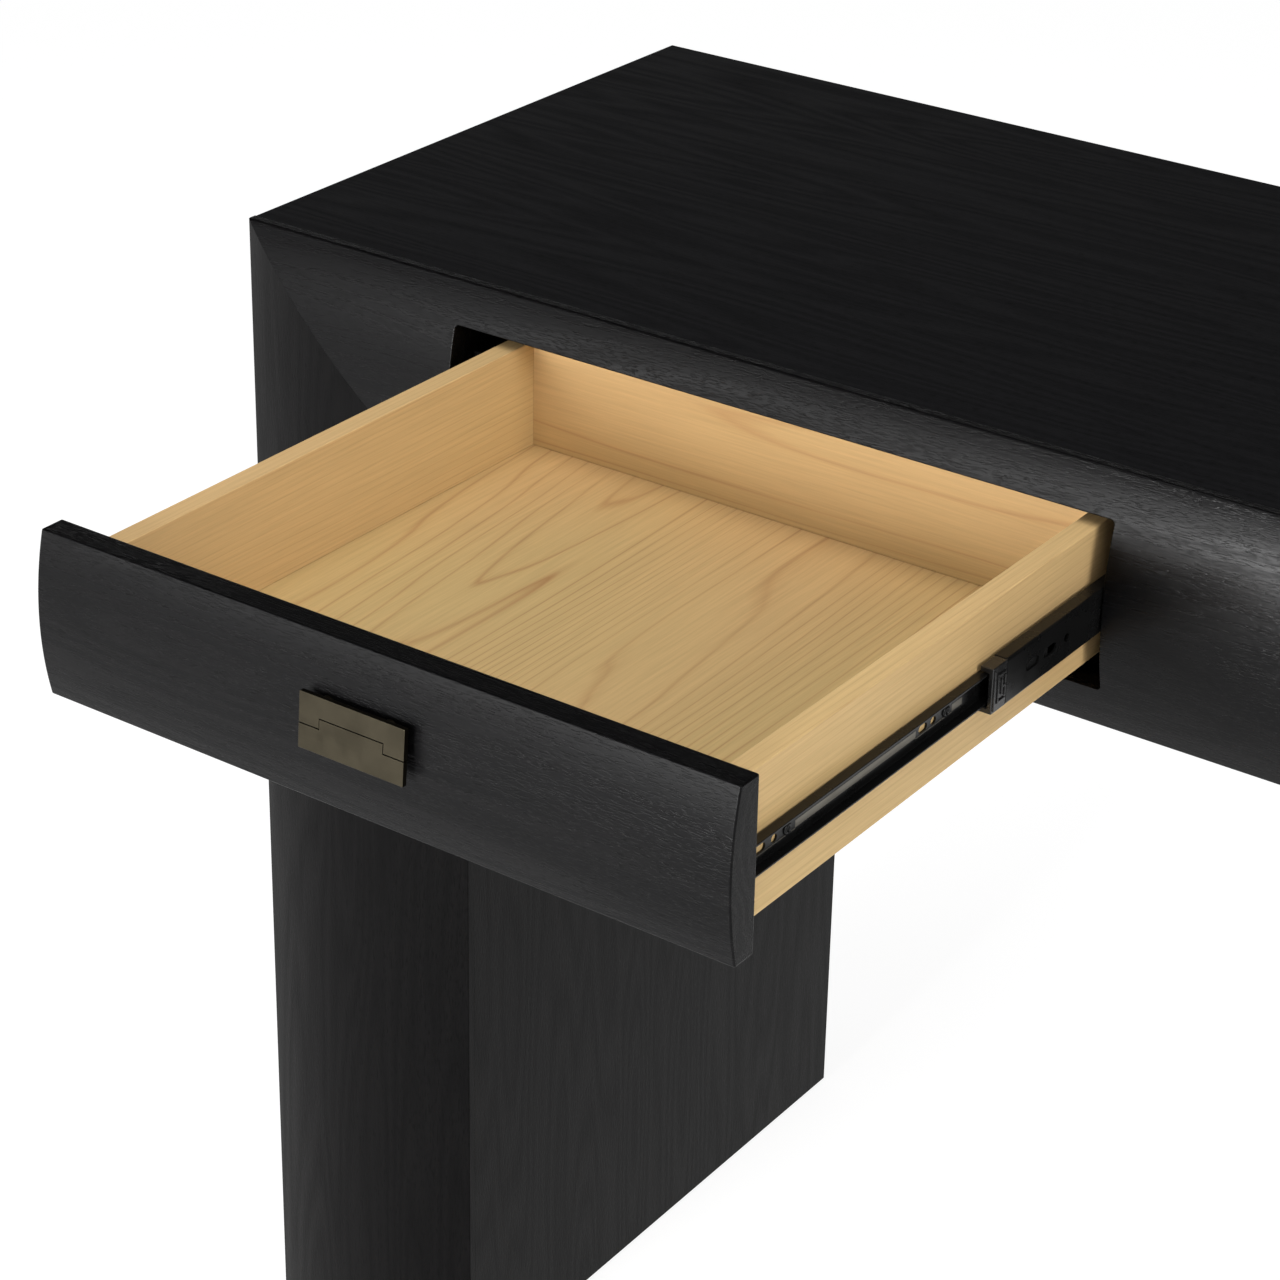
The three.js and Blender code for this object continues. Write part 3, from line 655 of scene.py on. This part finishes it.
def drawer_side(face, inwards):
    """A side board with its groove for the bottom; its top edges are well rounded."""
    z0, z1 = BOX[2:]
    w, g = BOX_WALL, BOX_WALL - GROOVE
    low, high = BOTTOM[0] - GROOVE_ROOM, BOTTOM[1] + GROOVE_ROOM
    outline = [(0, z0), (w, z0), (w, low), (g, low), (g, high), (w, high), (w, z1), (0, z1)]
    soft = [EASED, EASED, GROOVE_ROOM, CRISP, CRISP, GROOVE_ROOM, EASED, EASED]
    points = [(face + inwards * d, z) for d, z in outline]
    front = SHUT_FACE + GLUE
    return carried(rounded(points, soft), "y", (front, front + BOX_LENGTH), (CRISP, GROOVE_ROOM))


# ---- slides
def rail(size, span, slots, bend=RAIL_BEND):
    """A steel channel as (depth from its web's outer face, along, height), with oval slots through the web.

    Its section is carried along the slide. Two lines of the web on either face open by the slot's half width:
    the square root of radius squared less the distance past the slot's straight part squared. Between slots
    they are all but shut. Inside a slot the strips between them are left out, and short walls join the
    faces."""
    depth, h, t = size[0], size[1] / 2, STEEL
    gap = 0.05
    inner_bend = bend - t + RAIL_LIP
    outline = [(0, -h), (depth, -h), (depth, t - h), (t, t - h), (t, -gap), (t, gap),
               (t, h - t), (depth, h - t), (depth, h), (0, h), (0, gap), (0, -gap)]
    soft = [bend, RAIL_LIP, RAIL_LIP, inner_bend, 0, 0, inner_bend, RAIL_LIP, RAIL_LIP, bend, 0, 0]
    flat, out = rounded(outline, soft, 4)
    lines = [int(np.argmin(np.abs(flat - place).sum(1)))
             for place in ((t, -gap), (t, gap), (0, gap), (0, -gap))]
    rise = np.sin(np.linspace(0, math.pi / 2, 7))
    stations = [*span]
    for at, length, width in slots:
        ends = (length - width) / 2 + width / 2 * rise
        stations += [*(at - ends), *(at + ends)]
    y = np.unique(np.round(stations, 5))
    between = (y[1:] + y[:-1]) / 2
    opening = np.full(len(y), gap)
    cut = np.zeros(len(between), bool)
    for at, length, width in slots:
        past = np.maximum(np.abs(y - at) - (length - width) / 2, 0)
        opening = np.maximum(opening, np.sqrt(np.maximum((width / 2) ** 2 - past ** 2, 0)))
        cut |= np.abs(between - at) < length / 2
    rows, columns = len(y), len(flat)
    points, ways = np.zeros((2, rows, columns, 3))
    points[..., 0], points[..., 1], points[..., 2] = flat[:, 0], y[:, None], flat[:, 1]
    ways[..., 0], ways[..., 2] = out[:, 0], out[:, 1]
    for line, sign in zip(lines, (-1, 1, 1, -1)):
        points[:, line, 2] = sign * opening
    keep = np.ones((rows - 1, columns), bool)
    keep[cut, lines[0]] = keep[cut, lines[2]] = False
    faces = [woven(rows, columns).reshape(rows - 1, columns, 4)[keep]]

    inner_low, inner_high, outer_high, outer_low = (points[:, line] for line in lines)
    walls, wall_ways = [], []
    for a, b in ((inner_low, outer_low), (outer_high, inner_high)):
        quads = np.stack([a[:-1], a[1:], b[1:], b[:-1]], 1)[cut]
        way = np.cross(quads[:, 1] - quads[:, 0], quads[:, 3] - quads[:, 0])
        way *= np.sign(-way[:, 2:] * quads[:, 0, 2:]) / np.linalg.norm(way, axis=1, keepdims=True)
        walls.append(quads)
        wall_ways.append(np.repeat(way, 4, 0))
    for j in np.flatnonzero(cut[1:] != cut[:-1]) + 1:
        walls.append(np.stack([inner_low[j], inner_high[j], outer_high[j], outer_low[j]])[None])
        wall_ways.append(np.tile((0.0, -1.0 if cut[j - 1] else 1.0, 0.0), (4, 1)))
    walls = np.concatenate(walls)
    faces.append(rows * columns + np.arange(4 * len(walls)).reshape(-1, 4))
    faces += [np.arange(columns)[::-1], np.arange(columns) + (rows - 1) * columns]
    points = np.concatenate([points.reshape(-1, 3), walls.reshape(-1, 3)])
    return points, faces, np.concatenate([ways.reshape(-1, 3), *wall_ways])


def oriented(points, faces, ways):
    """Each face is wound so that it looks the way its corners' directions do, and an end looks outwards."""
    fixed = []
    for f in faces:
        rows = f if f.ndim == 2 else f[None]
        p = points[rows]
        centre = p.mean(1)
        arms = p - centre[:, None]
        normal = np.cross(arms, np.roll(arms, -1, 1)).sum(1)
        wanted = ways[rows].sum(1) if f.ndim == 2 else (centre - points.mean(0)) * (0, 1, 0)
        turned_round = np.sum(normal * wanted, 1) < 0
        rows = np.where(turned_round[:, None], rows[:, ::-1], rows)
        fixed.append(rows if f.ndim == 2 else rows[0])
    return points, fixed, ways


def on_slide(parts, box_side, outwards, web, away):
    """Carries parts from (depth, along, height) to their place beside the drawer box. Depth grows from the
    web's place, towards the case where away is 1 and towards the box where it is -1."""
    flip = np.array([outwards * away, 1.0, 1.0])
    shift = (box_side + outwards * web, 0, SLIDE_Z)
    return [oriented(points * flip + shift, faces, ways * flip) for points, faces, ways in parts]


def nose_block():
    """The moulded nose of the middle rail: a channel-shaped mouth with ridges on its outer side, and a
    shallower tail inside the rail."""
    def channel(web, inside, lip, tip, half):
        """A channel's outline as (depth, height), open towards greater depth."""
        return [(web, -half), (tip, -half), (tip, -lip), (inside, -lip),
                (inside, lip), (tip, lip), (tip, half), (web, half)]

    def ridge(front, back, low, high):
        outline = rounded(rectangle((-0.6, 0.6), (low, high)), 0.3)
        return carried(outline, "y", (NOSE[0] + front, NOSE[0] + back), (0.3, 0.3))

    mouth = rounded(channel(0.2, 3.0, 10.0, 8.1, 13.2), 0.6, 5)
    tail = rounded(channel(1.55, 3.2, 9.6, 7.6, 11.6), 0.35)
    return [carried(mouth, "y", NOSE[:2], (0.6, 0.3), 5),
            carried(tail, "y", (NOSE[1] - 1, NOSE[2]), (CRISP, 0.35)),
            ridge(0.9, 2.4, -11.5, 11.5), ridge(4.6, 5.7, -8.5, 8.5), ridge(5.2, 12.5, 7.0, 8.5),
            ridge(5.2, 12.5, -8.5, -7.0), ridge(8.4, 9.6, -4.6, 4.6), ridge(9.2, 13.2, -0.8, 0.8),
            ridge(11.8, 13.0, -6.2, 6.2)]


def screw(at):
    """A pan-head screw on the web: a domed rim round a hollow, whose floor is the recess for the driver."""
    r = SCREW
    profile = [(0.01, -0.3), (r, -0.3), (r, 0.25), (0.93 * r, 0.75), (0.78 * r, 1.0), (0.55 * r, 1.12),
               (0.45 * r, 1.1), (0.36 * r, 0.55), (0.3 * r, 0.3), (0.01, 0.28)]
    return turned(profile, (STEEL, at, 0), "x", 28)


def painted_reflection_band(along, height):
    """A band of painted reflection on the web: a light steel colour where the black web only reflects light,
    rolled a hair above it.
    """
    return carried(rounded(rectangle((STEEL - 0.1, STEEL + 0.1), height), CRISP), "y", along)


# ---- drop pulls, in their own axes: x along the pull, y into the drawer, z up, from the seat on the drawer
def tilted(piece):
    """A piece of the pull leaned back to follow the front, and set on its seat."""
    points, faces, directions = piece
    c, s = math.cos(PULL_TILT), math.sin(PULL_TILT)
    turn = np.array([[1.0, 0.0, 0.0], [0.0, c, s], [0.0, -s, c]])
    return points @ turn + PULL_SEAT, faces, directions @ turn


def pull_plate():
    """The fixed plate with an ear at either end, standing on two round bosses."""
    half, tongue = PULL[0] / 2, TONGUE / 2
    top, shoulder, step = PULL_TOP, PULL_TOP - SHOULDER, PULL_TOP - TONGUE_TOP
    outline = [(-half, top), (-half, shoulder), (-tongue, shoulder), (-tongue, step),
               (tongue, step), (tongue, shoulder), (half, shoulder), (half, top)]
    soft = [0.35, 0.25, 0.25, CRISP, CRISP, 0.25, 0.25, 0.35]
    plate = carried(rounded(outline, soft), "y", (-STANDOFF - PULL[2], -STANDOFF), (PULL_EDGE, PULL_EDGE))
    r, seat, end = BOSS_RADIUS, -0.35, -STANDOFF - 0.4
    profile = [(0.01, seat), (r - 0.3, seat), (r, seat - 0.3), (r, end), (0.01, end)]
    return [plate, *[turned(profile, (x, 0, 0), "y", 32) for x in (-BOSS_PLACE, BOSS_PLACE)]]


def pull_pin():
    """The pin across the pull, from ear to ear."""
    end, r, e = PULL[0] / 2 - PULL[2], PIN_RADIUS, PIN_EDGE
    profile = [(0.01, -end), (r - e, -end), (r, e - end), (r, end - e), (r - e, end), (0.01, end)]
    return turned(profile, (0, -STANDOFF - PULL[2] / 2, PULL_TOP - PIN_DROP), "x", 16)


def pull_flap():
    """The flap as loops of depth and height, one beside the other along the pull. Beside the tongue a loop
    ends at the shoulder, on the tongue just above the pin. Loops are doubled where the height steps, so that
    the step is a flat wall."""
    half, tongue = PULL[0] / 2, TONGUE / 2 - SLIT
    thick = PULL[2] / 2
    middle = -STANDOFF - thick
    pin = PULL_TOP - PIN_DROP
    shoulder = pin - math.hypot(thick, SHOULDER - PIN_DROP) - SHOULDER_GAP
    bottom = PULL_TOP - PULL[1]
    ease = PULL_EDGE
    turn = np.linspace(0, math.pi / 2, 4)
    mirrored = np.array([-1.0, 1.0])
    foot_out = np.stack([np.sin(turn), -np.cos(turn)], 1)
    back_foot = foot_out * ease + (middle + thick - ease, bottom + ease)
    front_foot = (foot_out * mirrored)[::-1] * ease + (middle - thick + ease, bottom + ease)
    quarter = np.linspace(0, math.pi / 2, 5)
    corner = np.stack([np.cos(quarter), np.sin(quarter)], 1)
    flat = np.linspace(thick - ease, ease - thick, 10)[1:-1]
    top_out = np.concatenate([corner, np.tile((0.0, 1.0), (len(flat), 1)), (corner * mirrored)[::-1]])
    top = np.concatenate([corner * ease + (thick - ease, -ease), np.stack([flat, 0 * flat], 1),
                          (corner * mirrored)[::-1] * ease + (ease - thick, -ease)])
    out = np.concatenate([foot_out, top_out, (foot_out * mirrored)[::-1]])
    low, high = (np.concatenate([back_foot, top + (middle, height), front_foot])
                 for height in (shoulder, pin + TONGUE_RISE))
    rows, ways = [], []

    def add(x, outline, level=0.0):
        """A loop at x, whose directions lean along the pull by a level from -1 to 1."""
        rows.append(np.column_stack([np.full(len(outline), x), outline]))
        ways.append(np.column_stack([np.full(len(outline), level), out * math.sqrt(1 - level ** 2)]))

    def end(phi, sign):
        """A loop in the round at one end of the flap; its directions lean along the pull by the angle."""
        drawn_in = low - ease * (1 - math.cos(phi)) * out
        add(sign * (half - ease * (1 - math.sin(phi))), drawn_in, sign * math.sin(phi))

    for phi in turn[::-1]:
        end(phi, -1)
    for x, first, second, level in ((-tongue, low, high, -1.0), (tongue, high, low, 1.0)):
        add(x, first)
        add(x, first, level)
        add(x, second, level)
        add(x, second)
    for phi in turn:
        end(phi, 1)
    n = len(low)
    caps = [np.arange(n)[::-1], np.arange(n) + (len(rows) - 1) * n]
    return skin(np.concatenate(rows), [woven(len(rows), n), *caps], np.concatenate(ways))


for side in ("left", "right"):
    right = side == "right"
    drawer, middles, flap = f"drawer_{side}", f"slide_middles_{side}", f"pull_flap_{side}"
    open_by = 0.0 if right else -TRAVEL
    drawer_shift = (0, open_by, 0)
    middle_shift = (0, open_by * MIDDLE_SHARE, 0)
    x0, x1, z0, z1 = BOX

    def put(name, parts, finish, node, body=drawer, shift=drawer_shift):
        """Parts drawn for the left drawer when shut, at their place on this side."""
        return build(name, [moved(p, shift, right) for p in parts], finish, body, [node])

    put(f"drawer_face_{side}", [drawer_front()], oak_face, f"drawer_front_{side}")
    for edge, face, inwards in (("outer", x0, 1), ("inner", x1, -1)):
        put(f"drawer_wall_{side}_{edge}", [drawer_side(face, inwards)], maple_side,
            f"drawer_side_{side}_{edge}")
    y0 = SHUT_FACE + GLUE
    y1 = y0 + BOX_LENGTH
    inside = (x0 + BOX_WALL + GLUE, x1 - BOX_WALL - GLUE)
    back = plank(inside, (y1 - BOX_WALL, y1), (BOTTOM[1] + GLUE, z1), "x", CRISP, EASED)
    put(f"drawer_end_{side}", [back], maple_back, f"drawer_back_{side}")
    reach = BOX_WALL - GROOVE + GROOVE_ROOM
    floor = plank((x0 + reach, x1 - reach), (y0, y1), BOTTOM, "y", CRISP, GROOVE_ROOM)
    put(f"drawer_floor_{side}", [floor], maple_bottom, f"drawer_bottom_{side}")

    for edge, face, outwards in (("outer", x0, -1.0), ("inner", x1, 1.0)):
        case_rail = [rail(CASE_RAIL, SLIDE, CASE_SLOTS)]
        put(f"case_rail_{side}_{edge}", on_slide(case_rail, face, outwards, CASE_RAIL_WEB, -1.0),
            steel_black, f"slide_cabinet_{side}_{edge}", "table", (0, 0, 0))
        middle_rail = [rail(MIDDLE_RAIL, (NOSE[1] - MOUTH_OVER_RAIL, SLIDE[1]), MIDDLE_SLOTS)]
        put(f"middle_rail_{side}_{edge}", on_slide(middle_rail, face, outwards, MIDDLE_RAIL_WEB, -1.0),
            steel_black, f"slide_middle_{side}_{edge}", middles, middle_shift)
        drawer_rail = [rail(DRAWER_RAIL, SLIDE, DRAWER_SLOTS, DRAWER_RAIL_BEND), *map(screw, DRAWER_SCREWS)]
        put(f"drawer_rail_{side}_{edge}", on_slide(drawer_rail, face, outwards, DRAWER_RAIL_WEB, 1.0),
            steel_black, f"slide_inner_{side}_{edge}")
        # painted reflection: light bands on the drawer rail's web in place of the web's own reflection
        strips = [painted_reflection_band(*limits) for limits in PAINTED_REFLECTION_BANDS]
        put(f"drawer_rail_strip_{side}_{edge}", on_slide(strips, face, outwards, DRAWER_RAIL_WEB, 1.0),
            painted_reflection_steel, f"slide_inner_{side}_{edge}")
        put(f"rail_nose_{side}_{edge}", on_slide(nose_block(), face, outwards, MIDDLE_RAIL_WEB, -1.0),
            retainer_plastic, f"slide_retainer_{side}_{edge}", middles, middle_shift)

    put(f"pull_back_plate_{side}", map(tilted, pull_plate()), bronze, f"pull_plate_{side}")
    put(f"pull_hinge_pin_{side}", [tilted(pull_pin())], bronze, f"pull_pin_{side}")
    put(f"pull_tongue_{side}", [tilted(pull_flap())], bronze, f"pull_flap_{side}", flap)


# ---- floor, light and camera
def stage_plane(name, half, z, finish):
    """A level square the staging stands on."""
    mesh = bpy.data.meshes.new(name)
    corners = [(x, y, z) for x, y in rectangle((-half, half), (-half, half))]
    mesh.from_pydata(corners, [], [(0, 1, 2, 3)])
    mesh.materials.append(finish)
    plane = bpy.data.objects.new(name, mesh)
    bpy.context.scene.collection.objects.link(plane)
    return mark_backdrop(plane)


def rays(tree, *kinds):
    """1 for rays of the named kinds, 0 for the rest."""
    path = tree.nodes.new("ShaderNodeLightPath")
    total, *others = (path.outputs[f"Is {kind} Ray"] for kind in kinds)
    for ray in others:
        largest = tree.nodes.new("ShaderNodeMath")
        largest.operation = "MAXIMUM"
        tree.links.new(total, largest.inputs[0])
        tree.links.new(ray, largest.inputs[1])
        total = largest.outputs[0]
    return total


def either(tree, factor, first, second):
    """The first shader where the factor is 0, the second where it is 1."""
    mix = tree.nodes.new("ShaderNodeMixShader")
    for socket, source in enumerate((factor, first, second)):
        tree.links.new(source, mix.inputs[socket])
    return mix.outputs[0]


def white_floor():
    """Pale matt floor. Seen directly it is nearly white by itself, and what it catches of the lamps keeps the
    shadow."""
    floor = bpy.data.materials.new("pale_floor")
    floor.use_nodes = True
    tree = floor.node_tree
    tree.nodes.clear()
    matt = tree.nodes.new("ShaderNodeBsdfDiffuse")
    matt.inputs["Color"].default_value = (0.82, 0.82, 0.82, 1)
    faint = tree.nodes.new("ShaderNodeBsdfDiffuse")
    faint.inputs["Color"].default_value = (0.22, 0.22, 0.22, 1)
    glow = tree.nodes.new("ShaderNodeEmission")
    glow.inputs["Strength"].default_value = 0.9
    both = tree.nodes.new("ShaderNodeAddShader")
    tree.links.new(faint.outputs[0], both.inputs[0])
    tree.links.new(glow.outputs[0], both.inputs[1])
    surface = either(tree, rays(tree, "Camera", "Glossy", "Transmission"), matt.outputs[0], both.outputs[0])
    tree.links.new(surface, tree.nodes.new("ShaderNodeOutputMaterial").inputs["Surface"])
    return floor


def studio_world():
    """Dim even room light. Seen directly it is white. Mirrored, it is a white sweep that ends above eye
    level, with a dim ceiling over it."""
    world = bpy.data.worlds.new("studio")
    world.use_nodes = True
    tree = world.node_tree
    room = tree.nodes["Background"]
    white = tree.nodes.new("ShaderNodeBackground")
    sweep = tree.nodes.new("ShaderNodeBackground")
    room.inputs["Strength"].default_value = ROOM_LIGHT
    room.inputs["Color"].default_value = white.inputs["Color"].default_value = (1, 1, 1, 1)
    direction = tree.nodes.new("ShaderNodeTexCoord")
    height = tree.nodes.new("ShaderNodeSeparateXYZ")
    fade = tree.nodes.new("ShaderNodeValToRGB")
    bright, dim = fade.color_ramp.elements
    bright.position, bright.color = 0.04, (1, 1, 1, 1)
    dim.position, dim.color = 0.26, (0.03, 0.03, 0.03, 1)
    tree.links.new(direction.outputs["Generated"], height.inputs[0])
    tree.links.new(height.outputs["Z"], fade.inputs[0])
    tree.links.new(fade.outputs[0], sweep.inputs["Color"])
    unseen = either(tree, rays(tree, "Glossy", "Transmission"), room.outputs[0], sweep.outputs[0])
    surface = either(tree, rays(tree, "Camera"), unseen, white.outputs[0])
    tree.links.new(surface, tree.nodes["World Output"].inputs["Surface"])
    return world


def softbox(name, place, target, width, height, radiance):
    """A rectangular lamp turned to look at a point. Its power is pi times its area times its radiance."""
    light = bpy.data.lights.new(name, "AREA")
    light.shape = "RECTANGLE"
    light.size, light.size_y = width, height
    light.energy = math.pi * width * height * radiance
    lamp = bpy.data.objects.new(name, light)
    bpy.context.scene.collection.objects.link(lamp)
    lamp.location = place
    lamp.rotation_euler = (Vector(place) - Vector(target)).to_track_quat("Z", "Y").to_euler()
    lamp.visible_camera = False
    return lamp


ROOM_LIGHT = 0.3
LAMPS = {  # place, target, width, height, radiance
    "overhead": ((0.0, -0.95, 2.95), (-0.1, -0.2, 0.75), 2.2, 1.8, 2.8),
    "front_key": ((-0.7, -2.95, 0.88), (0.0, -0.05, 0.78), 0.7, 0.8, 76.0),
    "front_soft": ((-1.75, -2.75, 0.95), (-0.2, -0.05, 0.78), 1.2, 0.9, 7.0),
    "left_fill": ((-3.0, -0.9, 1.0), (-0.5, -0.1, 0.5), 1.4, 1.6, 1.8),
    "right_fill": ((2.6, -1.0, 1.7), (-0.2, -0.2, 0.75), 1.3, 1.4, 7.6),
}

stage_plane("floor", half=40.0, z=-0.0005, finish=white_floor())
bpy.context.scene.world = studio_world()
for name, lamp in LAMPS.items():
    softbox(name, *lamp)

camera = bpy.data.objects.new("camera", bpy.data.cameras.new("camera"))
bpy.context.scene.collection.objects.link(camera)
camera.location = (0.5751, -1.5078, 1.5647)
camera.rotation_euler = [math.radians(a) for a in (64.6446, -0.982, 35.6917)]
camera.data.lens = 94.44
camera.data.sensor_width = 36
camera.data.shift_y = -0.1
camera.data.clip_start, camera.data.clip_end = 0.05, 200
bpy.context.scene.camera = camera
bpy.context.scene.view_settings.view_transform = "Standard"
